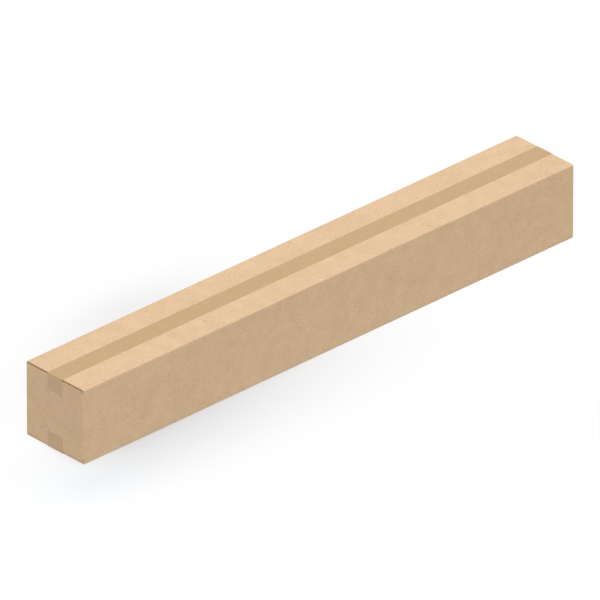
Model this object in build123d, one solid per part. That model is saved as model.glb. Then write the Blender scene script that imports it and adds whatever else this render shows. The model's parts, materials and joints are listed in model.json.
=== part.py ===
from build123d import *

import math
import os

# Outside of the closed box over its board, in millimetres
LENGTH = 1200.0
WIDTH = 149.0
HEIGHT = 150.0

# Double wall board, from outside in: liner, fine flute, liner, coarse flute, liner
LINER = 0.25
FLUTE_PAPER = 0.2
FINE_FLUTE = 1.4
FINE_PITCH = 3.3
COARSE_FLUTE = 2.1
COARSE_PITCH = 6.4
BOARD = 3 * LINER + FINE_FLUTE + COARSE_FLUTE

# Creases: a round outside, and inside the groove that the creasing wheel pressed.
# The end flaps are folded first and pressed flat under the long ones, so their folds are sharper.
FOLD_RADIUS = 1.5
END_FLAP_FOLD_RADIUS = 0.5
CREASE_GROOVE = 1.0

# Flaps: the long flaps meet at the seam, and the end flaps lie inside them. The slots between them
# are cut past the folds, so that the long flaps end a little short of the end walls.
SEAM_GAP = 2.0
LAYER_GAP = 0.1
FLAP_SETBACK = 1.0
SLOT_CLEARANCE = 0.5
SLOT_RELIEF = 0.5
CRUSHED_AT_FOLD = 1.2

# Glue tab, folded from one end wall and glued inside one long wall
TAB_WIDTH = 35.0
TAB_TAPER = 15.0
GLUE_SQUEEZE = 0.25

# Packing tape
TAPE_WIDTH = 39.0
TAPE_THICKNESS = 0.1
TOP_TAIL = 35.0
BOTTOM_TAIL = 32.0
TEETH = 26
TOOTH_DEPTH = 0.7

# Where the layers lie, and where the slots between the flaps end
END_FLAP_STEP = BOARD + LAYER_GAP
LONG_FLAP_REACH = (WIDTH - SEAM_GAP) / 2
FLAP_END = LENGTH / 2 - FLAP_SETBACK
END_FLAP_REACH = LONG_FLAP_REACH + END_FLAP_STEP
SLOT_BOTTOM = END_FLAP_STEP + BOARD + SLOT_RELIEF
SLOT_TOP = HEIGHT - SLOT_BOTTOM
END_FLAP_HALF_WIDTH = WIDTH / 2 - BOARD - SLOT_CLEARANCE


def crease_groove(x, y):
    """The groove that a crease leaves at the inside corner (x, y) of a fold."""
    return Pos(x, y) * Rot(0, 0, 45) * Rectangle(CREASE_GROOVE, CREASE_GROOVE)


def rectangle_between(x0, x1, y0, y1):
    """A rectangle given by its sides."""
    return Pos((x0 + x1) / 2, (y0 + y1) / 2) * Rectangle(x1 - x0, y1 - y0)


def wall_and_flaps(bottom, top, reach, radius):
    """Section through a wall and its two flaps: x runs inwards from the wall's outside, y is up."""
    outline = rectangle_between(0, reach, bottom, top)
    outline = fillet(outline.vertices().sort_by(Axis.X)[:2], radius)
    section = outline - rectangle_between(BOARD, reach, bottom + BOARD, top - BOARD)
    section -= crease_groove(BOARD, bottom + BOARD)
    section -= crease_groove(BOARD, top - BOARD)
    return section


def above_and_below_slots(solid):
    """What the slots leave of a wall's section: its two folds with their flaps."""
    between = Box(2 * LENGTH, 2 * WIDTH, SLOT_TOP - SLOT_BOTTOM)
    return solid - Pos(0, 0, HEIGHT / 2) * between


def long_flaps():
    """The top and bottom flaps of one long wall, at -Y."""
    section = wall_and_flaps(0, HEIGHT, LONG_FLAP_REACH, FOLD_RADIUS)
    across = Plane(origin=(0, -WIDTH / 2, 0), x_dir=(0, 1, 0), z_dir=(1, 0, 0))
    return above_and_below_slots(extrude(across * section, FLAP_END, both=True))


def end_flaps():
    """The top and bottom flaps of one end wall, at -X, inside the long flaps."""
    section = wall_and_flaps(
        END_FLAP_STEP, HEIGHT - END_FLAP_STEP, END_FLAP_REACH, END_FLAP_FOLD_RADIUS
    )
    along = Plane(origin=(-LENGTH / 2, 0, 0), x_dir=(1, 0, 0), z_dir=(0, -1, 0))
    return above_and_below_slots(extrude(along * section, END_FLAP_HALF_WIDTH, both=True))


def wall_ring():
    """Plan section of the four walls, with the glued joint at the corner (+X, +Y)."""
    outline = Rectangle(LENGTH, WIDTH)
    folded_corners = outline.vertices().sort_by(lambda corner: corner.X + corner.Y)[:3]
    outline = fillet(folded_corners, FOLD_RADIUS)
    inner_x = LENGTH / 2 - BOARD
    inner_y = WIDTH / 2 - BOARD
    ring = outline - Rectangle(2 * inner_x, 2 * inner_y)
    ring -= joint_groove()
    for x, y in ((-inner_x, -inner_y), (-inner_x, inner_y), (inner_x, -inner_y)):
        ring -= crease_groove(x, y)
    return ring


def joint_groove():
    """The groove beside the tab's fold, under the raw edge of the long wall that covers it.

    Glue squeezed out of the joint fills its thin end."""
    tab_face = WIDTH / 2 - BOARD
    centre_x = LENGTH / 2 - FOLD_RADIUS
    centre_y = tab_face - FOLD_RADIUS
    glue_end = centre_x + math.sqrt(FOLD_RADIUS**2 - (FOLD_RADIUS - GLUE_SQUEEZE) ** 2)
    corner = rectangle_between(glue_end, LENGTH / 2, centre_y, tab_face)
    return corner - Pos(centre_x, centre_y) * Circle(FOLD_RADIUS)


def glue_tab():
    """The tab inside the long wall at +Y, with tapered ends, folded from the end wall at +X."""
    fold_x = LENGTH / 2 - BOARD
    tip_x = LENGTH / 2 - TAB_WIDTH
    taper = (fold_x - tip_x) * math.tan(math.radians(TAB_TAPER))
    outline = Polyline(
        (fold_x, SLOT_BOTTOM),
        (fold_x, SLOT_TOP),
        (tip_x, SLOT_TOP - taper),
        (tip_x, SLOT_BOTTOM + taper),
        close=True,
    )
    inside_face = WIDTH / 2 - 2 * BOARD
    plane = Plane(origin=(0, inside_face, 0), x_dir=(1, 0, 0), z_dir=(0, -1, 0))
    tab = extrude(plane * make_face(outline), -BOARD)
    groove = extrude(crease_groove(fold_x, inside_face), HEIGHT)
    return tab - groove, groove


def flute_hollow(near, far, pitch):
    """The hollow of one flute layer that a cut along the flutes leaves open.

    x runs in from the cut and y through the board from its outside. The cut falls on a crest,
    where the flute paper lies on the liner at y = near. Half a pitch in it reaches the liner at
    y = far, and the hollow is what it leaves open between them."""
    paper = math.copysign(FLUTE_PAPER, far - near)
    crest = near + paper
    face = Spline(
        (0, crest),
        (pitch / 4, (crest + far) / 2),
        (pitch / 2, far),
        tangents=[(1, 0), (1, 0)],
    )
    return make_face(face + Line((pitch / 2, far), (0, far)) + Line((0, far), (0, crest)))


def cut_edge_hollows():
    """The hollows in a cut edge that runs along the flutes, one in each flute layer."""
    fine = flute_hollow(LINER, LINER + FINE_FLUTE, FINE_PITCH)
    coarse = flute_hollow(BOARD - LINER, BOARD - LINER - COARSE_FLUTE, COARSE_PITCH)
    return fine + coarse


def long_flap_end_hollows():
    """The open flutes in the end of a top long flap: at -X, of the flap at -Y."""
    outer_edge = -WIDTH / 2 + CRUSHED_AT_FOLD
    down = Plane(origin=(-FLAP_END, outer_edge, HEIGHT), x_dir=(1, 0, 0), z_dir=(0, 1, 0))
    return extrude(down * cut_edge_hollows(), -SEAM_GAP / 2 - outer_edge)


def raw_edge_hollows():
    """The open flutes in the raw upright edge of the long wall at +Y, beside the glued joint."""
    upright = Plane(origin=(LENGTH / 2, WIDTH / 2, SLOT_BOTTOM), x_dir=(-1, 0, 0), z_dir=(0, 0, 1))
    return extrude(upright * cut_edge_hollows(), SLOT_TOP - SLOT_BOTTOM)


def carton():
    """The folded and glued sheet, standing on z = 0."""
    tab, tab_groove = glue_tab()
    walls = Pos(0, 0, SLOT_BOTTOM) * extrude(wall_ring(), SLOT_TOP - SLOT_BOTTOM)
    sheet = walls - tab_groove + tab
    long_side = long_flaps()
    end_side = end_flaps()
    sheet += long_side + mirror(long_side, Plane.XZ)
    sheet += end_side + mirror(end_side, Plane.YZ)
    hollows = long_flap_end_hollows()
    for cut in (hollows, mirror(hollows, Plane.XZ)):
        sheet -= cut
        sheet -= mirror(cut, Plane.YZ)
    return sheet - raw_edge_hollows()


def saw_teeth(tip, way):
    """The gaps between the teeth of a tape's cut end, in the plane of the end wall."""
    pitch = TAPE_WIDTH / TEETH
    gap = make_face(Polyline((-pitch / 2, 0), (0, TOOTH_DEPTH), (pitch / 2, 0), close=True))
    if way < 0:
        gap = mirror(gap, Plane.XZ)
    return Pos(0, tip) * (Sketch() + GridLocations(pitch, 0, TEETH, 1) * gap)


def seam_tape(seam_height, tail, way):
    """A strip along a seam and over both ends. way is 1 for the top seam and -1 for the bottom."""
    outside = LENGTH / 2 + TAPE_THICKNESS
    face = seam_height + way * TAPE_THICKNESS
    tip = seam_height - way * tail
    outline = rectangle_between(-outside, outside, min(tip, face), max(tip, face))
    bends = [corner for corner in outline.vertices() if math.isclose(corner.Y, face)]
    outline = fillet(bends, TAPE_THICKNESS)
    inner = rectangle_between(
        -LENGTH / 2, LENGTH / 2, min(tip, seam_height), max(tip, seam_height)
    )
    strip = extrude(Plane.XZ * (outline - inner), TAPE_WIDTH / 2, both=True)
    return strip - extrude(Plane.YZ * saw_teeth(tip, way), LENGTH, both=True)


def main():
    """Writes each piece, with the box standing on its bottom tape at z = 0."""
    os.makedirs("parts", exist_ok=True)
    pieces = {
        "carton": carton(),
        "top_tape": seam_tape(HEIGHT, TOP_TAIL, 1),
        "bottom_tape": seam_tape(0, BOTTOM_TAIL, -1),
    }
    for name, piece in pieces.items():
        export_step(Pos(0, 0, TAPE_THICKNESS) * piece, f"parts/{name}.step")


main()
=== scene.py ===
import json
import math

import bmesh
import bpy
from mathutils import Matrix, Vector, noise

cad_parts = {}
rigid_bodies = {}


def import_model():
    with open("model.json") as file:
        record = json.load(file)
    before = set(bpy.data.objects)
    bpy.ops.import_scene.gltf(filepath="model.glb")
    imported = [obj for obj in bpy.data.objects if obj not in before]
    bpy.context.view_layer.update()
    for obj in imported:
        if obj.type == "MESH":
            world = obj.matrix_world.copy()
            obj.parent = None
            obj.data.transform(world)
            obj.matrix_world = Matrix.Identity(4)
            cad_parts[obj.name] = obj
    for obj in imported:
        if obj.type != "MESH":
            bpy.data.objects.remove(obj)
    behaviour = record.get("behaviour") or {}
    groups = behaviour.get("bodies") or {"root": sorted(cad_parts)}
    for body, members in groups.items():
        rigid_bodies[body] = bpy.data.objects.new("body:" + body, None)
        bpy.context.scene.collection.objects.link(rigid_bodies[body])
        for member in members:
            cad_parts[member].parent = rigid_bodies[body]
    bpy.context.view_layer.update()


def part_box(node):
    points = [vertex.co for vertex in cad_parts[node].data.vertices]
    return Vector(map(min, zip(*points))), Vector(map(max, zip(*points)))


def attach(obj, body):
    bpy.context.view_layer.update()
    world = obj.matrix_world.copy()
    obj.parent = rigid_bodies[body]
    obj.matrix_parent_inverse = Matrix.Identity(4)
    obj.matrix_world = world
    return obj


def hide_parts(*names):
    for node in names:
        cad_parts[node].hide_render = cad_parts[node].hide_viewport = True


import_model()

MM = 0.001

# The closed box over its board, from the frame
LOW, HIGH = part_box("carton")
END = HIGH.x
SIDE = HIGH.y
BASE = LOW.z
TOP = HIGH.z
MIDDLE_HEIGHT = (TOP + BASE) / 2

# Double wall board, from outside in: liner, fine flute, liner, coarse flute, liner
LINER = 0.25 * MM
FLUTE_PAPER = 0.2 * MM
FINE_FLUTE = 1.4 * MM
FINE_PITCH = 3.3 * MM
COARSE_FLUTE = 2.1 * MM
COARSE_PITCH = 6.4 * MM
BOARD = 3 * LINER + FINE_FLUTE + COARSE_FLUTE

# Creases and flaps. The groove is given as half its width.
FOLD_RADIUS = 1.5 * MM
END_FLAP_FOLD_RADIUS = 0.5 * MM
CREASE_GROOVE = 0.7 * MM
SEAM_GAP = 2 * MM
LAYER_GAP = 0.1 * MM
FLAP_SETBACK = 1 * MM
SLOT_CLEARANCE = 0.5 * MM
SLOT_RELIEF = 0.5 * MM
CRUSHED_AT_FOLD = 1.2 * MM
END_FLAP_STEP = BOARD + LAYER_GAP
LONG_FLAP_REACH = SIDE - SEAM_GAP / 2
FLAP_END = END - FLAP_SETBACK
END_FLAP_REACH = LONG_FLAP_REACH + END_FLAP_STEP
SLOT_DEPTH = END_FLAP_STEP + BOARD + SLOT_RELIEF
END_FLAP_SIDE = SIDE - BOARD - SLOT_CLEARANCE

# Glue tab inside the wall at +Y, folded from the end wall at +X
TAB_WIDTH = 35 * MM
TAB_TAPER = math.radians(15)
GLUE_SQUEEZE = 0.25 * MM

# Tape, how far it sinks into the seam, and how far to each side of the seam that goes
TAPE_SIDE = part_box("top_tape")[1].y
TAPE_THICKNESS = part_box("top_tape")[1].z - TOP
TOP_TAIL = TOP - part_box("top_tape")[0].z
BOTTOM_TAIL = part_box("bottom_tape")[1].z - BASE
TAPE_TEETH = 26
TOOTH_DEPTH = 0.7 * MM
TAPE_BEND = 0.06 * MM
SEAM_SAG = 0.05 * MM
SAG_SPREAD = (0.3 * SEAM_GAP, 0.9 * SEAM_GAP)

# How finely the sheet, its folds, its open flutes and the tape are divided
GRID_ALONG = 10 * MM
GRID_ACROSS = 8 * MM
FOLD_STEPS = 6
FLUTE_ROWS = 12
FLUTE_COLUMNS = 12
TAPE_STEP = 6 * MM

# How far panels lie below true flat at most, their mean and variation as shares of that, how long
# and wide the waves are, and how far in from a fold they reach their depth
HOLLOW = 0.22 * MM
HOLLOW_MEAN = 0.65
HOLLOW_VARIATION = 0.35
WAVE_LENGTH = 110 * MM
WAVE_WIDTH = 50 * MM
HOLLOW_RAMP = 22 * MM

# Within the first depth the board and the tape on it move with the panel, and past the second
# they keep still
MOVING_DEPTH = 2 * BOARD + 1 * MM
STILL_DEPTH = MOVING_DEPTH + 3 * MM

# How far folds are dented, how long the dents are, and how far they reach from the fold
CRINKLE = 0.08 * MM
DENT_LENGTH = 9 * MM
DENT_SPREAD = (0.5 * FOLD_RADIUS, 1.6 * FOLD_RADIUS)

# Folds sharper than these are shaded as edges
BOARD_EDGE_ANGLE = math.radians(35)
TAPE_EDGE_ANGLE = math.radians(50)

# The carton's materials, in the order of its slots
LINER_FACE, CUT_FACE, FLUTE_FACE = range(3)

# The flute layers: start below the outside, height, pitch, where in its wave the paper is at the
# two ends of a cut, and the material of the hollows. The fine hollows' paper is darkened: painted
# shade.
FLUTES = (
    (LINER, FINE_FLUTE, FINE_PITCH, (0.72, 0.78), FLUTE_FACE),
    (2 * LINER + FINE_FLUTE, COARSE_FLUTE, COARSE_PITCH, (0.44, 0.50), CUT_FACE),
)
LEAST_HOLLOW = 0.01 * MM

# Paper: colours, and for each kind its colour, how strongly the grain shows, and the grain's clouds
# and speckle to the metre
KRAFT = (0.66, 0.465, 0.291)
CUT_KRAFT = tuple(0.97 * channel for channel in KRAFT)
# Flute paper: its own darker recycled brown, darkened much further as painted shade for the dark
# inside the fine hollows
FLUTE_KRAFT_AND_SHADE = (0.16, 0.095, 0.048)
PAPERS = {
    "kraft_liner": (KRAFT, 1.0, 40.0, 340.0),
    "cut_board": (CUT_KRAFT, 1.5, 120.0, 900.0),
    "flute_paper_and_shade": (FLUTE_KRAFT_AND_SHADE, 1.2, 60.0, 600.0),
}

# Paper's grain: how much each part of it changes the tone, and the darkest and lightest tones, as
# an amount and a tint
CLOUDS, SPECKLE, FIBRES, BROAD = 0.42, 0.9, 0.45, 0.12
DARKEST = (0.75, (1.0, 0.985, 0.955))
LIGHTEST = (1.25, (1.0, 1.015, 1.045))
FIBRE_WANDER = 0.9 * MM

# Paper's specks and rubbed folds: how strongly each shows, and its tone
DARK_SPECK = (0.35, 0.55)
LIGHT_SPECK = (0.22, 1.25)
RUBBED_PAPER = (0.18, 1.12)

# Paper's surface: its roughness, how far the flutes' ridges and its own fuzz stand out, and its
# bump as a strength and a depth
PAPER_ROUGHNESS = (0.84, 0.93)
PAPER_RIDGES = 0.35
PAPER_FUZZ = 0.5
PAPER_BUMP = (0.35, 0.06 * MM)

# Specks lie in cells, stretched along the board. Each grows from the least size as its cell's random
# number rises above the first chance, and again above the second. Sizes are shares of a cell.
SPECK_STRETCH = (0.45, 1.0, 1.0)
SPECK_CHANCE = 0.55
LARGE_CHANCE = 0.75
SPECK_BEND = 0.05
LEAST_SPECK = 0.025
LARGE_SPECK = 0.11
SPECK_EDGE = 0.03

# Tape film: colour, the pale painted sheen where it runs down the end walls, standing for the white
# ground it reflects there, as its weakest and strongest, and its rubbed folds
TAPE_FILM = (0.452, 0.256, 0.077)
END_SHEEN_FILM = (0.7, 0.56, 0.42)
END_SHEEN = (0.1, 0.17)
RUBBED_FILM = (0.15, 1.3)

# Film's surface: its roughness, its gloss, how far the flutes' ridges and its own waves stand out,
# and its bump as a strength and a depth
FILM_ROUGHNESS = (0.28, 0.38)
FILM_GLOSS = (0.8, 1.0)
FILM_RIDGES = 0.5
FILM_WAVES = 1.5
FILM_BUMP = (0.4, 0.05 * MM)

# Most of a noise lies between these, and it is turned so that no face lies along its grid
MOST_NOISE = (0.3, 0.7)
NOISE_TURN = (0.5, 0.8, 1.1)

# A face whose normal has more than this along X is an end wall's
END_WALL_FACING = 0.7

# Light on the box: the white room's, and the overhead lamp's with its width and tilt
SKY = 0.85
LAMP = 0.38
LAMP_ANGLE = math.radians(60)
LAMP_TILT = (math.radians(18), math.radians(-9), 0)

# Ground: its half size, its light on the box, its colour far from the box and near it, and how far
# the near one reaches. The near colour is painted shade: darker and bluer, against the warm light
# that the board throws on the ground.
FLOOR_SIZE = 60
FLOOR_GLOW = 0.585
FLOOR_FAR = (0.862, 0.862, 0.862)
FLOOR_NEAR_SHADE = (0.735, 0.778, 0.824)
NEAR_REACH = 0.13

# A painted shadow on the ground behind the box, as a soft darker patch: how dark, its centre and how
# far it spreads
PAINTED_SHADOW = 0.114
PAINTED_SHADOW_CENTRE = (-0.168, 0.268)
PAINTED_SHADOW_SPREAD = (0.183, 0.086)

# The box's shadow on the ground fades between these places along the box. Near the box's left end
# it is also held back: by a share, which fades between two places along the box and grows between
# two places across it.
SHADOW_FADE = (-0.414, 0.312)
HELD_BACK = (
    (0.52, (-0.58, -0.476), (-0.16, -0.04)),
    (0.8, (-0.525, -0.445), (0.0, 0.07)),
    (0.93, (-0.615, -0.59), (-0.13, 0.08)),
)

# Camera
VIEW_AZIMUTH = math.radians(-43.26)
VIEW_ELEVATION = math.radians(29.44)
VIEW_DISTANCE = 49.42
VIEW_LENS = 1662.4
VIEW_TARGET = Vector((-4.94 * MM, -0.75 * MM, 74.9 * MM))


def new_object(name, bm, materials):
    """An object made from bm, with these materials in its slots."""
    mesh = bpy.data.meshes.new(name)
    bm.to_mesh(mesh)
    bm.free()
    for material in materials:
        mesh.materials.append(material)
    obj = bpy.data.objects.new(name, mesh)
    bpy.context.scene.collection.objects.link(obj)
    return obj


def arc(centre, radius, start, end):
    """Points of a round fold, from angle start to angle end in degrees."""
    turns = [start + (end - start) * n / FOLD_STEPS for n in range(FOLD_STEPS + 1)]
    angles = [math.radians(turn) for turn in turns]
    return [(centre[0] + radius * math.cos(a), centre[1] + radius * math.sin(a)) for a in angles]


def prism(outline, place, start, end):
    """A solid with this outline in (u, v), from w = start to w = end, as cut from board.

    place puts (u, v, w) in the box."""
    bm = bmesh.new()
    near = [bm.verts.new(place(u, v, start)) for u, v in outline]
    far = [bm.verts.new(place(u, v, end)) for u, v in outline]
    caps = [bm.faces.new(near), bm.faces.new(far)]
    for n in range(len(outline)):
        m = (n + 1) % len(outline)
        face = bm.faces.new((near[n], near[m], far[m], far[n]))
        face.material_index = LINER_FACE
    for face in caps:
        face.material_index = CUT_FACE
    bmesh.ops.recalc_face_normals(bm, faces=bm.faces)
    bmesh.ops.triangulate(bm, faces=caps)
    return bm


def combine(bm, other, operation, materials):
    """The union or difference of two solids. Both are used up."""
    body = new_object("body", bm, materials)
    tool = new_object("tool", other, materials)
    step = body.modifiers.new("step", "BOOLEAN")
    step.operation = operation
    step.object = tool
    step.solver = "MANIFOLD"
    step.material_mode = "INDEX"
    depsgraph = bpy.context.evaluated_depsgraph_get()
    result = bmesh.new()
    result.from_object(body, depsgraph)
    for obj in (body, tool):
        mesh = obj.data
        bpy.data.objects.remove(obj)
        bpy.data.meshes.remove(mesh)
    result.normal_update()
    bmesh.ops.triangulate(result, faces=result.faces)
    return result


def folded_flap(top, reach, radius):
    """Section of a wall's last stretch above the slots, with its flap.

    u runs inwards from the wall's outside, and v is up."""
    inner = top - BOARD
    groove = CREASE_GROOVE
    return [
        (0, TOP - SLOT_DEPTH),
        *arc((radius, top - radius), radius, 180, 90),
        (reach, top),
        (reach, inner),
        (BOARD + groove, inner),
        (BOARD, inner + groove),
        (BOARD - groove, inner),
        (BOARD, inner - groove),
        (BOARD, TOP - SLOT_DEPTH),
    ]


def upside_down(outline):
    """The same section at the foot of the wall."""
    return [(u, BASE + TOP - v) for u, v in outline]


def at_long_wall(way):
    """Places a section against the long wall at -Y (way -1) or +Y (way 1)."""
    return lambda u, v, w: Vector((w, way * (SIDE - u), v))


def at_end_wall(way):
    """Places a section against the end wall at -X (way -1) or +X (way 1)."""
    return lambda u, v, w: Vector((way * (END - u), w, v))


def upright(u, v, w):
    """Places a plan outline."""
    return Vector((u, v, w))


def in_long_wall(u, v, w):
    """Places an outline that lies in the plane of the long walls."""
    return Vector((u, w, v))


def wall_outline():
    """Plan of the walls' outside: three round folds, and the square raw edge at (+X, +Y)."""
    r = FOLD_RADIUS
    return [
        *arc((r - END, r - SIDE), r, 180, 270),
        *arc((END - r, r - SIDE), r, 270, 360),
        (END, SIDE),
        *arc((r - END, SIDE - r), r, 90, 180),
    ]


def room_outline():
    """Plan of the inside, with a crease groove in each of the three plain corners."""
    x = END - BOARD
    y = SIDE - BOARD
    g = CREASE_GROOVE
    return [
        (-x - g, -y), (-x, -y - g), (-x + g, -y),
        (x - g, -y), (x, -y - g), (x + g, -y), (x, -y + g),
        (x, y),
        (-x + g, y), (-x, y + g), (-x - g, y), (-x, y - g),
        (-x, -y + g),
    ]


def joint_groove_outline():
    """Plan of the groove beside the tab's fold, under the raw edge.

    It goes as far in as the squeezed glue."""
    face = SIDE - BOARD
    centre = (END - FOLD_RADIUS, face - FOLD_RADIUS)
    start = math.degrees(math.asin(1 - GLUE_SQUEEZE / FOLD_RADIUS))
    fold = arc(centre, FOLD_RADIUS, start, 0)
    past_end = END + FOLD_RADIUS
    return [(fold[0][0], face), *fold, (past_end, fold[-1][1]), (past_end, face)]


def tab_outline():
    """The glue tab in its own plane, with tapered ends."""
    fold = END - BOARD
    tip = END - TAB_WIDTH
    taper = (fold - tip) * math.tan(TAB_TAPER)
    bottom = BASE + SLOT_DEPTH
    top = TOP - SLOT_DEPTH
    return [(fold, bottom), (tip, bottom + taper), (tip, top - taper), (fold, top)]


def folded_sheet(materials):
    """The whole carton as one closed solid: four walls, eight flaps and the glue tab."""
    bottom = BASE + SLOT_DEPTH
    top = TOP - SLOT_DEPTH
    sheet = prism(wall_outline(), upright, bottom, top)
    for outline in (room_outline(), joint_groove_outline()):
        hollow = prism(outline, upright, bottom - BOARD, top + BOARD)
        sheet = combine(sheet, hollow, "DIFFERENCE", materials)
    tab_face = SIDE - BOARD
    tab = prism(tab_outline(), in_long_wall, tab_face - BOARD, tab_face)
    sheet = combine(sheet, tab, "UNION", materials)
    long_top = folded_flap(TOP, LONG_FLAP_REACH, FOLD_RADIUS)
    end_top = folded_flap(TOP - END_FLAP_STEP, END_FLAP_REACH, END_FLAP_FOLD_RADIUS)
    for way in (-1, 1):
        for outline in (long_top, upside_down(long_top)):
            flap = prism(outline, at_long_wall(way), -FLAP_END, FLAP_END)
            sheet = combine(sheet, flap, "UNION", materials)
        for outline in (end_top, upside_down(end_top)):
            flap = prism(outline, at_end_wall(way), -END_FLAP_SIDE, END_FLAP_SIDE)
            sheet = combine(sheet, flap, "UNION", materials)
    return sheet


def smooth_step(value, low, high):
    """0 at low, 1 at high, and smooth between."""
    t = min(1.0, max(0.0, (value - low) / (high - low)))
    return t * t * (3 - 2 * t)


def panel_hollow(u, v, edge):
    """How far a panel lies below true flat at (u, v), edge being how far its nearest fold is."""
    wave = noise.noise(Vector((u / WAVE_LENGTH, v / WAVE_WIDTH, 0.3)))
    share = HOLLOW_MEAN + HOLLOW_VARIATION * wave
    return HOLLOW * share * smooth_step(edge, 0, HOLLOW_RAMP)


def settle(p):
    """Where a point of the true flat box lies on the real one.

    The top's, long walls' and end walls' panels are a little hollow, and the folds a little
    dented. The underside stays flat on the ground."""
    x_edge = END - abs(p.x)
    y_edge = SIDE - abs(p.y)
    z_edge = min(TOP - p.z, p.z - BASE)
    shift = Vector((0, 0, 0))
    for seed, axis, depth, u, v, edge in (
        (1.7, 2, TOP - p.z, p.x, p.y, min(x_edge, y_edge)),
        (4.1, 1, y_edge, p.x, p.z, min(x_edge, z_edge)),
        (8.3, 0, x_edge, p.y, p.z, min(y_edge, z_edge)),
    ):
        moving = 1 - smooth_step(depth, MOVING_DEPTH, STILL_DEPTH)
        if moving > 0:
            way = -1 if p[axis] > 0 else 1
            shift[axis] += way * moving * panel_hollow(u + seed, v + seed, edge)
    middle = Vector((0, 0, MIDDLE_HEIGHT))
    inwards = [-1 if place > centre else 1 for place, centre in zip(p, middle)]
    edges = (x_edge, y_edge, z_edge)
    for along, a, b in ((p.x, y_edge, z_edge), (p.y, x_edge, z_edge), (p.z, x_edge, y_edge)):
        fold = 1 - smooth_step(a + b, *DENT_SPREAD)
        if fold > 0:
            dents = 0.5 + 0.5 * noise.noise(Vector((along / DENT_LENGTH, 5.5, 0.2)))
            depth = CRINKLE * fold * dents
            near = [edge < 2 * FOLD_RADIUS for edge in edges]
            shift += Vector([depth * way * here for way, here in zip(inwards, near)])
    return p + shift


def divide(bm):
    """Cuts the sheet by evenly spaced planes, so that its panels can bend."""
    for axis, low, high, step in (
        (0, -END, END, GRID_ALONG),
        (1, -SIDE, SIDE, GRID_ACROSS),
        (2, BASE, TOP, GRID_ACROSS),
    ):
        count = round((high - low) / step)
        normal = Vector((0, 0, 0))
        normal[axis] = 1
        for n in range(1, count):
            place = normal * (low + (high - low) * n / count)
            everything = [*bm.verts, *bm.edges, *bm.faces]
            bmesh.ops.bisect_plane(
                bm, geom=everything, dist=1e-7, plane_co=place, plane_no=normal
            )


def grid_shell(bm, columns, rows, outer, inner, material):
    """A closed thin sheet: outer(i, j) and inner(i, j) give its two faces' points."""
    def layer(point):
        return [[bm.verts.new(point(i, j)) for j in range(rows + 1)] for i in range(columns + 1)]

    top = layer(outer)
    under = layer(inner)
    faces = []
    for i in range(columns):
        for j in range(rows):
            faces.append((top[i][j], top[i + 1][j], top[i + 1][j + 1], top[i][j + 1]))
            faces.append((under[i][j], under[i][j + 1], under[i + 1][j + 1], under[i + 1][j]))
    for i in range(columns):
        for j, way in ((0, 1), (rows, -1)):
            rim = (top[i][j], under[i][j], under[i + 1][j], top[i + 1][j])
            faces.append(rim[::way])
    for j in range(rows):
        for i, way in ((0, -1), (columns, 1)):
            rim = (top[i][j], under[i][j], under[i][j + 1], top[i][j + 1])
            faces.append(rim[::way])
    for corners in faces:
        bm.faces.new(corners).material_index = material


def flute_hollow(place, length, flute, side):
    """What a flute's paper leaves open on one side of it, at a cut nearly along the flutes.

    side is 1 for the hollow between the paper and the board's outside, and -1 for the one on its
    inside. place(s, u, v) puts the point s along the cut, u in from it and v below the board's
    outside."""
    start, height, pitch, phases, material = flute
    swing = (height - FLUTE_PAPER) / 2
    closed_at = 0.75 if side > 0 else 0.25
    liner = start if side > 0 else start + height

    def point(i, j, on_paper):
        phase = phases[0] + (phases[1] - phases[0]) * i / FLUTE_COLUMNS
        depth = pitch * ((closed_at - phase) % 1)
        u = depth * max(0, j - 1) / (FLUTE_ROWS - 1)
        paper = start + swing * (1 + math.sin(2 * math.pi * (u / pitch + phase)))
        if side > 0:
            paper = max(paper, liner + LEAST_HOLLOW)
        else:
            paper = min(paper + FLUTE_PAPER, liner - LEAST_HOLLOW)
        return place(length * i / FLUTE_COLUMNS, u if j else -BOARD, paper if on_paper else liner)

    bm = bmesh.new()
    grid_shell(
        bm, FLUTE_COLUMNS, FLUTE_ROWS,
        lambda i, j: point(i, j, False), lambda i, j: point(i, j, True), material,
    )
    bmesh.ops.recalc_face_normals(bm, faces=bm.faces)
    bmesh.ops.triangulate(bm, faces=bm.faces)
    return bm


def cut_edges():
    """Each cut edge that shows its flutes, as (place, length)."""
    inner_end = SEAM_GAP / 2
    bottom = BASE + SLOT_DEPTH

    def flap_end(end, side):
        return lambda s, u, v: Vector((end * (FLAP_END - u), side * (inner_end + s), TOP - v))

    def raw_edge(s, u, v):
        return Vector((END - u, SIDE - v, bottom + s))

    flap_cut = SIDE - CRUSHED_AT_FOLD - inner_end
    edges = [(flap_end(end, side), flap_cut) for end in (-1, 1) for side in (-1, 1)]
    return edges + [(raw_edge, TOP - BASE - 2 * SLOT_DEPTH)]


def open_flutes(sheet, materials):
    """Hollows out the flute layers at the cut edges. Returns the sheet."""
    for place, length in cut_edges():
        for flute in FLUTES:
            for side in (-1, 1):
                hollow = flute_hollow(place, length, flute, side)
                sheet = combine(sheet, hollow, "DIFFERENCE", materials)
    return sheet


def crisp_edges(bm, angle):
    """Smooth shading, broken at edges sharper than angle."""
    for face in bm.faces:
        face.smooth = True
    for edge in bm.edges:
        if len(edge.link_faces) == 2:
            edge.smooth = edge.calc_face_angle(0) < angle


def make_carton(materials):
    """The folded sheet of board."""
    sheet = open_flutes(folded_sheet(materials), materials)
    divide(sheet)
    for vert in sheet.verts:
        vert.co = settle(vert.co)
    bmesh.ops.recalc_face_normals(sheet, faces=sheet.faces)
    crisp_edges(sheet, BOARD_EDGE_ANGLE)
    carton = new_object("carton_sheet", sheet, materials)
    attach(carton, "root")
    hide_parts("carton")


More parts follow.
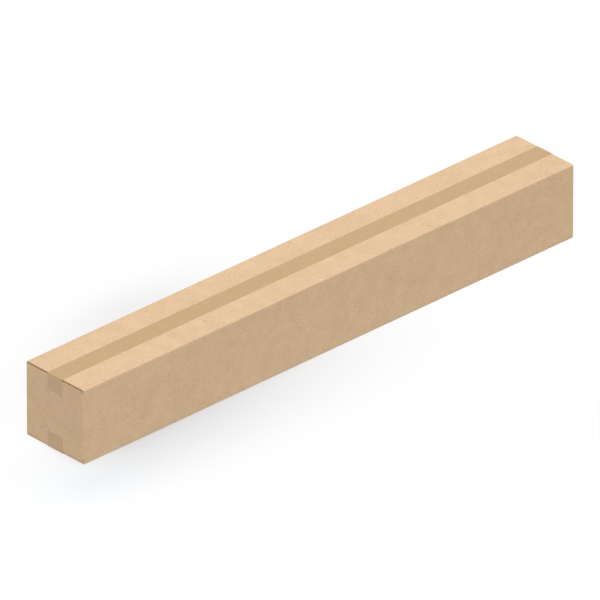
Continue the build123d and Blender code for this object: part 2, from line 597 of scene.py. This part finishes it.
def tape_path(tail):
    """Stations along a tape, as (inner x, inner rise, outer x, outer rise).

    A rise is measured outwards from the board's face."""
    down = round(tail / TAPE_STEP)
    along = round(END / TAPE_STEP)
    rises = [-tail * (1 - n / down) for n in range(down)]
    stations = [(END, rise, END + TAPE_THICKNESS, rise) for rise in rises]
    centre = (END - TAPE_BEND, -TAPE_BEND)
    inner = arc(centre, TAPE_BEND, 0, 90)
    outer = arc(centre, TAPE_BEND + TAPE_THICKNESS, 0, 90)
    stations += [(*a, *b) for a, b in zip(inner, outer)]
    places = [END * (1 - n / along) for n in range(1, along + 1)]
    stations += [(x, 0, x, TAPE_THICKNESS) for x in places]
    mirrored = [(-a, b, -c, d) for a, b, c, d in stations[-2::-1]]
    return stations + mirrored


def make_tape(name, node, seam, way, tail, material):
    """A strip of tape along a seam: way is 1 for the top seam and -1 for the bottom."""
    path = tape_path(tail)
    columns = 2 * TAPE_TEETH
    last = len(path) - 1

    def point(i, j, outer):
        x, rise = path[i][2:] if outer else path[i][:2]
        y = TAPE_SIDE * (2 * j / columns - 1)
        if i in (0, last) and j % 2:
            rise += TOOTH_DEPTH
        over_seam = 1 - smooth_step(abs(y), *SAG_SPREAD)
        rise -= SEAM_SAG * over_seam * (abs(x) < END - BOARD)
        return settle(Vector((x, y, seam + way * rise)))

    bm = bmesh.new()
    grid_shell(
        bm, last, columns,
        lambda i, j: point(i, j, True), lambda i, j: point(i, j, False), 0,
    )
    bmesh.ops.recalc_face_normals(bm, faces=bm.faces)
    crisp_edges(bm, TAPE_EDGE_ANGLE)
    tape = new_object(name, bm, (material,))
    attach(tape, "root")
    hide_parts(node)


def add_node(tree, kind, inputs=None, **settings):
    """Adds a node. A value in inputs is a number or colour, or the socket that feeds it."""
    node = tree.nodes.new(kind)
    for name, value in settings.items():
        setattr(node, name, value)
    for key, value in (inputs or {}).items():
        if isinstance(value, bpy.types.NodeSocket):
            tree.links.new(value, node.inputs[key])
        else:
            node.inputs[key].default_value = value
    return node


def math_node(tree, operation, *values):
    """The result of a sum on these values, each a number or a socket."""
    inputs = dict(enumerate(values))
    return add_node(tree, "ShaderNodeMath", inputs, operation=operation).outputs[0]


def spread(tree, value, low, high, to_low=0.0, to_high=1.0, smooth=False):
    """Maps value from low..high to to_low..to_high, held at the ends."""
    inputs = {
        "Value": value, "From Min": low, "From Max": high, "To Min": to_low, "To Max": to_high,
    }
    kind = "SMOOTHSTEP" if smooth else "LINEAR"
    return add_node(tree, "ShaderNodeMapRange", inputs, interpolation_type=kind).outputs["Result"]


def separate(tree, vector):
    """A vector's three parts."""
    return add_node(tree, "ShaderNodeSeparateXYZ", {0: vector}).outputs


def join(tree, *parts):
    """A vector made of these parts."""
    return add_node(tree, "ShaderNodeCombineXYZ", dict(enumerate(parts))).outputs[0]


def noise_value(tree, place, scale, detail=2.0, roughness=0.5):
    """Noise at this many lumps to the metre."""
    inputs = {"Vector": place, "Rotation": NOISE_TURN}
    turned = add_node(tree, "ShaderNodeVectorRotate", inputs, rotation_type="EULER_XYZ").outputs[0]
    inputs = {"Vector": turned, "Scale": scale, "Detail": detail, "Roughness": roughness}
    return add_node(tree, "ShaderNodeTexNoise", inputs).outputs["Fac"]


def ramp(tree, value, stops):
    """A colour ramp. stops are (position, colour)."""
    node = add_node(tree, "ShaderNodeValToRGB", {"Fac": value})
    points = node.color_ramp.elements
    while len(points) < len(stops):
        points.new(0.5)
    for point, (position, colour) in zip(points, stops):
        point.position = position
        point.color = (*colour, 1)
    return node.outputs["Color"]


# A Mix node's sockets for each kind of value: its two inputs and its output
MIX_SOCKETS = {"VECTOR": (4, 5, 1), "RGBA": (6, 7, 2)}


def mix(tree, kind, factor, first, second):
    """A mix of two vectors or two colours, kind being VECTOR or RGBA."""
    a, b, result = MIX_SOCKETS[kind]
    inputs = {"Factor": factor, a: first, b: second}
    return add_node(tree, "ShaderNodeMix", inputs, data_type=kind).outputs[result]


def blend(tree, factor, first, second):
    """A colour mixed from two, each a colour or a socket."""
    colours = [c if isinstance(c, bpy.types.NodeSocket) else (*c, 1) for c in (first, second)]
    return mix(tree, "RGBA", factor, *colours)


def shade(colour, amount, tint=(1.0, 1.0, 1.0)):
    """A colour made darker or lighter, and tinted."""
    return tuple(min(1.0, c * amount * t) for c, t in zip(colour, tint))


def object_place(tree):
    """The place on the piece, in metres in the box's own frame."""
    return add_node(tree, "ShaderNodeTexCoord").outputs["Object"]


def along_and_across(tree):
    """The place on a panel, with the paper's machine direction as x.

    That is X on top and on the long walls, and Y on the end walls."""
    place = object_place(tree)
    normal = add_node(tree, "ShaderNodeNewGeometry").outputs["True Normal"]
    facing = math_node(tree, "ABSOLUTE", separate(tree, normal)["X"])
    on_end = math_node(tree, "GREATER_THAN", facing, END_WALL_FACING)
    x, y, z = separate(tree, place)
    return mix(tree, "VECTOR", on_end, place, join(tree, y, x, z))


def new_group(name, inputs, outputs):
    """A shader node group with these float inputs and their values, and these float outputs."""
    group = bpy.data.node_groups.new(name, "ShaderNodeTree")
    for socket, value in inputs.items():
        made = group.interface.new_socket(socket, in_out="INPUT", socket_type="NodeSocketFloat")
        made.default_value = value
    for socket in outputs:
        group.interface.new_socket(socket, in_out="OUTPUT", socket_type="NodeSocketFloat")
    given = group.nodes.new("NodeGroupInput")
    result = group.nodes.new("NodeGroupOutput")
    return group, given.outputs, result.inputs


def put_out(group, result, values):
    """Feeds a group's outputs."""
    for name, value in values.items():
        group.links.new(value, result[name])


def use_group(tree, group, values=None):
    """Places a group in a material. Returns its outputs."""
    return add_node(tree, "ShaderNodeGroup", values, node_tree=group).outputs


def paper_grain_group():
    """Cloudy formation, fine speckle and fibres lying along the machine direction."""
    group, given, result = new_group(
        "paper grain",
        {"Cloud Scale": 40.0, "Speckle Scale": 420.0, "Fibre Scale": 2600.0, "Fibre Stretch": 0.1},
        ("Clouds", "Speckle", "Fibres"),
    )
    place = along_and_across(group)
    clouds = noise_value(group, place, given["Cloud Scale"], 3.0, 0.55)
    speckle = noise_value(group, place, given["Speckle Scale"], 2.0, 0.6)
    x, y, z = separate(group, place)
    off_middle = math_node(group, "SUBTRACT", speckle, 0.5)
    wander = math_node(group, "MULTIPLY", off_middle, FIBRE_WANDER)
    drawn = join(
        group,
        math_node(group, "MULTIPLY", x, given["Fibre Stretch"]),
        math_node(group, "ADD", y, wander),
        math_node(group, "ADD", z, wander),
    )
    fibres = noise_value(group, drawn, given["Fibre Scale"], 2.0, 0.6)
    put_out(group, result, {"Clouds": clouds, "Speckle": speckle, "Fibres": fibres})
    return group


def flecks_group():
    """Sparse specks of bark and of bleached fibre, of different sizes, and a few of them large."""
    group, given, result = new_group("flecks", {"Scale": 90.0, "Size": 0.06}, ("Dark", "Light"))
    place = along_and_across(group)
    bend = math_node(group, "MULTIPLY", noise_value(group, place, 500.0), SPECK_BEND)
    inputs = {0: place, 1: SPECK_STRETCH}
    stretched = add_node(group, "ShaderNodeVectorMath", inputs, operation="MULTIPLY").outputs[0]
    inputs = {"Vector": stretched, "Scale": given["Scale"]}
    cells = add_node(group, "ShaderNodeTexVoronoi", inputs).outputs
    chance = add_node(group, "ShaderNodeSeparateColor", {0: cells["Color"]}).outputs
    from_centre = math_node(group, "ADD", cells["Distance"], bend)
    for name, channel in (("Dark", 0), ("Light", 1)):
        share = spread(group, chance[channel], SPECK_CHANCE, 1.0)
        usual = math_node(group, "MULTIPLY", share, given["Size"])
        large = spread(group, chance[channel], LARGE_CHANCE, 1.0, 0.0, LARGE_SPECK)
        size = math_node(group, "ADD", math_node(group, "ADD", usual, LEAST_SPECK), large)
        outside = math_node(group, "SUBTRACT", from_centre, size)
        put_out(group, result, {name: spread(group, outside, 0.0, SPECK_EDGE, 1.0, 0.0)})
    return group


def from_faces(tree, place):
    """How far a place lies in from the end, side, and top or bottom faces nearest to it."""
    x, y, z = separate(tree, place)
    height = math_node(tree, "SUBTRACT", z, MIDDLE_HEIGHT)
    return [
        math_node(tree, "SUBTRACT", reach, math_node(tree, "ABSOLUTE", value))
        for value, reach in ((x, END), (y, SIDE), (height, MIDDLE_HEIGHT - BASE))
    ]


def of_three(tree, operation, values):
    """The sum, least or most of three values."""
    first, second, third = values
    return math_node(tree, operation, first, math_node(tree, operation, second, third))


def fold_wear_group():
    """Rubbed places along the box's folds and corners, where two faces are near."""
    group, given, result = new_group("fold wear", {"Reach": 2.5 * MM}, ("Wear",))
    place = object_place(group)
    distances = from_faces(group, place)
    least, most, total = (
        of_three(group, operation, distances) for operation in ("MINIMUM", "MAXIMUM", "ADD")
    )
    second = math_node(group, "SUBTRACT", math_node(group, "SUBTRACT", total, least), most)
    patchy = noise_value(group, place, 140.0, 4.0, 0.7)
    limit = math_node(group, "MULTIPLY", given["Reach"], spread(group, patchy, 0.35, 0.75))
    ratio = math_node(group, "DIVIDE", second, math_node(group, "ADD", limit, 0.02 * MM))
    put_out(group, result, {"Wear": spread(group, ratio, 0.2, 1.0, 1.0, 0.0, smooth=True)})
    return group


def washboard_group():
    """The flutes' faint ridges, which show through the liner and the tape."""
    group, given, result = new_group("washboard", {"Pitch": FINE_PITCH, "Depth": 1.0}, ("Height",))
    place = along_and_across(group)
    x = separate(group, place)["X"]
    turns = math_node(group, "DIVIDE", math_node(group, "MULTIPLY", x, 2 * math.pi), given["Pitch"])
    uneven = noise_value(group, place, 25.0)
    ridges = math_node(group, "MULTIPLY", math_node(group, "SINE", turns), uneven)
    put_out(group, result, {"Height": math_node(group, "MULTIPLY", ridges, given["Depth"])})
    return group


def new_material(name, **constants):
    """A material with its shader, whose plain values are set on its own sockets."""
    material = bpy.data.materials.new(name)
    material.use_nodes = True
    shader = material.node_tree.nodes["Principled BSDF"]
    for socket, value in constants.items():
        shader.inputs[socket.replace("_", " ")].default_value = value
    return material, material.node_tree, shader


def stain(tree, base, mask, colour, look):
    """base with a mask's places in another tone of colour. look is how strongly, and the tone."""
    strength, tone = look
    return blend(tree, math_node(tree, "MULTIPLY", mask, strength), base, shade(colour, tone))


def feed(tree, shader, values):
    """Feeds a shader's sockets with what changes over the surface."""
    for name, value in values.items():
        tree.links.new(value, shader.inputs[name])


def bumped(tree, height, strength, depth):
    """The normal of a surface with this height, of which a whole step is this deep."""
    inputs = {"Height": height, "Strength": strength, "Distance": depth}
    return add_node(tree, "ShaderNodeBump", inputs).outputs[0]


def kraft_material(name, look, effects):
    """Unbleached paper. look is its row in PAPERS."""
    colour, strength, cloud_scale, speckle_scale = look
    grain, flecks, wear, washboard = effects
    material, tree, shader = new_material(name, Specular_IOR_Level=0.1)
    paper = use_group(tree, grain, {"Cloud Scale": cloud_scale, "Speckle Scale": speckle_scale})
    broad = noise_value(tree, object_place(tree), 9.0, 1.0)
    tone = 0.5
    for value, share in (
        (paper["Clouds"], CLOUDS),
        (paper["Speckle"], SPECKLE),
        (paper["Fibres"], FIBRES),
        (broad, BROAD),
    ):
        off_middle = math_node(tree, "SUBTRACT", value, 0.5)
        scaled = math_node(tree, "MULTIPLY", off_middle, share * strength)
        tone = math_node(tree, "ADD", tone, scaled)
    stops = ((0.0, shade(colour, *DARKEST)), (0.5, colour), (1.0, shade(colour, *LIGHTEST)))
    board = ramp(tree, tone, stops)
    specks = use_group(tree, flecks)
    board = stain(tree, board, specks["Dark"], colour, DARK_SPECK)
    board = stain(tree, board, specks["Light"], colour, LIGHT_SPECK)
    board = stain(tree, board, use_group(tree, wear)["Wear"], colour, RUBBED_PAPER)
    ridges = use_group(tree, washboard, {"Depth": PAPER_RIDGES})["Height"]
    speckle = math_node(tree, "MULTIPLY", paper["Speckle"], 0.8)
    fuzz = math_node(tree, "ADD", paper["Fibres"], speckle)
    height = math_node(tree, "ADD", ridges, math_node(tree, "MULTIPLY", fuzz, PAPER_FUZZ))
    feed(tree, shader, {
        "Base Color": board,
        "Roughness": spread(tree, paper["Clouds"], *MOST_NOISE, *PAPER_ROUGHNESS),
        "Normal": bumped(tree, height, *PAPER_BUMP),
    })
    return material


def tape_material(washboard, wear):
    """Brown packing tape: clear glossy film with streaks, over its glue, with painted sheen on the
    end walls.
    """
    material, tree, shader = new_material("tape_film", Specular_IOR_Level=0.5, Coat_Roughness=0.12)
    place = object_place(tree)
    x, y, z = separate(tree, place)
    from_middle = math_node(tree, "ABSOLUTE", x)
    up_or_down = math_node(tree, "ABSOLUTE", math_node(tree, "SUBTRACT", z, MIDDLE_HEIGHT))
    along = math_node(tree, "MULTIPLY", math_node(tree, "SUBTRACT", from_middle, up_or_down), 0.1)
    streaks = noise_value(tree, join(tree, along, y), 420.0, 3.0, 0.6)
    patches = noise_value(tree, place, 60.0, 3.0, 0.6)
    halves = (math_node(tree, "MULTIPLY", value, 0.5) for value in (streaks, patches))
    tone = math_node(tree, "ADD", *halves)
    stops = ((0.2, shade(TAPE_FILM, 0.88)), (0.5, TAPE_FILM), (0.8, shade(TAPE_FILM, 1.12)))
    film = ramp(tree, tone, stops)
    # Painted sheen: on the end walls the film is paler, for the white ground it reflects there
    on_end = math_node(tree, "GREATER_THAN", from_middle, END - 0.5 * MM)
    end_sheen = math_node(tree, "MULTIPLY", on_end, spread(tree, patches, 0.2, 0.8, *END_SHEEN))
    film = blend(tree, end_sheen, film, END_SHEEN_FILM)
    rubbed = use_group(tree, wear, {"Reach": 1.2 * MM})["Wear"]
    film = stain(tree, film, rubbed, TAPE_FILM, RUBBED_FILM)
    ridges = use_group(tree, washboard, {"Depth": FILM_RIDGES})["Height"]
    height = math_node(tree, "ADD", ridges, math_node(tree, "MULTIPLY", patches, FILM_WAVES))
    feed(tree, shader, {
        "Base Color": film,
        "Roughness": spread(tree, patches, *MOST_NOISE, *FILM_ROUGHNESS),
        "Coat Weight": spread(tree, streaks, *MOST_NOISE, *FILM_GLOSS),
        "Normal": bumped(tree, height, *FILM_BUMP),
    })
    return material


def seen_rays(tree):
    """1 for rays from the camera or a reflection, 0 for those that carry light to the box."""
    path = add_node(tree, "ShaderNodeLightPath").outputs
    seen = math_node(tree, "MAXIMUM", path["Is Camera Ray"], path["Is Glossy Ray"])
    return math_node(tree, "MAXIMUM", seen, path["Is Transmission Ray"])


def bell(tree, scaled):
    """exp of minus the sum of the squares of these values."""
    total = 0.0
    for value in scaled:
        total = math_node(tree, "ADD", total, math_node(tree, "MULTIPLY", value, value))
    return math_node(tree, "EXPONENT", math_node(tree, "MULTIPLY", total, -1.0))


def painted_shade_near_box(tree, x, y):
    """Where the ground is given painted shade: 1 at the box, fading with the distance from it."""
    scaled = []
    for value, reach in ((x, END), (y, SIDE)):
        outside = math_node(tree, "SUBTRACT", math_node(tree, "ABSOLUTE", value), reach)
        outside = math_node(tree, "MAXIMUM", outside, 0.0)
        scaled.append(math_node(tree, "DIVIDE", outside, NEAR_REACH))
    return bell(tree, scaled)


def painted_shadow_brightness(tree, x, y):
    """What the painted shadow behind the box leaves of the ground's brightness."""
    scaled = []
    for value, centre, width in zip((x, y), PAINTED_SHADOW_CENTRE, PAINTED_SHADOW_SPREAD):
        scaled.append(math_node(tree, "DIVIDE", math_node(tree, "SUBTRACT", value, centre), width))
    taken = math_node(tree, "MULTIPLY", bell(tree, scaled), PAINTED_SHADOW)
    return math_node(tree, "SUBTRACT", 1.0, taken)


def shadow_share(tree, x, y):
    """How fully the ground shows the box's shadow."""
    shadow = spread(tree, x, *SHADOW_FADE, 1.0, 0.0, smooth=True)
    for share, along, across in HELD_BACK:
        held = spread(tree, x, *along, share, 0.0, smooth=True)
        held = math_node(tree, "MULTIPLY", held, spread(tree, y, *across, smooth=True))
        shadow = math_node(tree, "MULTIPLY", shadow, math_node(tree, "SUBTRACT", 1.0, held))
    return shadow


def floor_material():
    """White ground, which shows the box's shadow where shadow_share says.

    Rays that carry its light to the box see a plain glow."""
    material = bpy.data.materials.new("floor")
    material.use_nodes = True
    tree = material.node_tree
    tree.nodes.remove(tree.nodes["Principled BSDF"])

    def glow(strength):
        return add_node(tree, "ShaderNodeEmission", {"Strength": strength}).outputs[0]

    def mix_shaders(factor, first, second):
        return add_node(tree, "ShaderNodeMixShader", {0: factor, 1: first, 2: second}).outputs[0]

    x, y, _ = separate(tree, object_place(tree))
    # Painted shadow: a soft darker patch behind the box dims both the ground's colour and its glow
    shadow_brightness = painted_shadow_brightness(tree, x, y)
    # Painted shade: the ground's colour turns darker and bluer near the box
    colour = blend(tree, painted_shade_near_box(tree, x, y), FLOOR_FAR, FLOOR_NEAR_SHADE)
    inputs = {0: colour, "Scale": shadow_brightness}
    colour = add_node(tree, "ShaderNodeVectorMath", inputs, operation="SCALE").outputs[0]
    shadowed = add_node(tree, "ShaderNodeBsdfDiffuse", {"Color": colour}).outputs[0]
    ground = mix_shaders(shadow_share(tree, x, y), glow(shadow_brightness), shadowed)
    either = mix_shaders(seen_rays(tree), glow(FLOOR_GLOW), ground)
    tree.links.new(either, tree.nodes["Material Output"].inputs["Surface"])
    return material


def make_floor():
    """The ground, far wider than any view of the box."""
    bm = bmesh.new()
    bmesh.ops.create_grid(bm, x_segments=1, y_segments=1, size=FLOOR_SIZE)
    floor = new_object("floor", bm, (floor_material(),))


def make_lights():
    """A room that looks white, with less light on the box, and one wide overhead lamp."""
    world = bpy.data.worlds.new("studio")
    bpy.context.scene.world = world
    world.use_nodes = True
    tree = world.node_tree
    strength = spread(tree, seen_rays(tree), 0.0, 1.0, SKY, 1.0)
    tree.links.new(strength, tree.nodes["Background"].inputs["Strength"])
    tree.nodes["Background"].inputs["Color"].default_value = (1, 1, 1, 1)
    lamp = bpy.data.lights.new("overhead", "SUN")
    lamp.energy = LAMP * math.pi
    lamp.angle = LAMP_ANGLE
    obj = bpy.data.objects.new("overhead", lamp)
    obj.rotation_euler = LAMP_TILT
    bpy.context.scene.collection.objects.link(obj)


def make_camera():
    """The photograph's view: a long lens far away."""
    back = Vector((
        math.sin(VIEW_AZIMUTH) * math.cos(VIEW_ELEVATION),
        -math.cos(VIEW_AZIMUTH) * math.cos(VIEW_ELEVATION),
        math.sin(VIEW_ELEVATION),
    ))
    lens = bpy.data.cameras.new("camera")
    lens.lens = VIEW_LENS
    lens.clip_start = 1
    lens.clip_end = 4 * VIEW_DISTANCE
    camera = bpy.data.objects.new("camera", lens)
    camera.location = VIEW_TARGET + back * VIEW_DISTANCE
    camera.rotation_euler = (-back).to_track_quat("-Z", "Y").to_euler()
    bpy.context.scene.collection.objects.link(camera)
    bpy.context.scene.camera = camera


def main():
    """Builds the scene, without what a new file holds."""
    for obj in list(bpy.data.objects):
        if obj.name in ("Cube", "Light", "Camera"):
            bpy.data.objects.remove(obj)
    bpy.context.scene.view_settings.view_transform = "Standard"
    wear = fold_wear_group()
    washboard = washboard_group()
    effects = (paper_grain_group(), flecks_group(), wear, washboard)
    make_carton([kraft_material(name, look, effects) for name, look in PAPERS.items()])
    tape = tape_material(washboard, wear)
    make_tape("top_seam_tape", "top_tape", TOP, 1, TOP_TAIL, tape)
    make_tape("bottom_seam_tape", "bottom_tape", BASE, -1, BOTTOM_TAIL, tape)
    make_floor()
    make_lights()
    make_camera()


main()
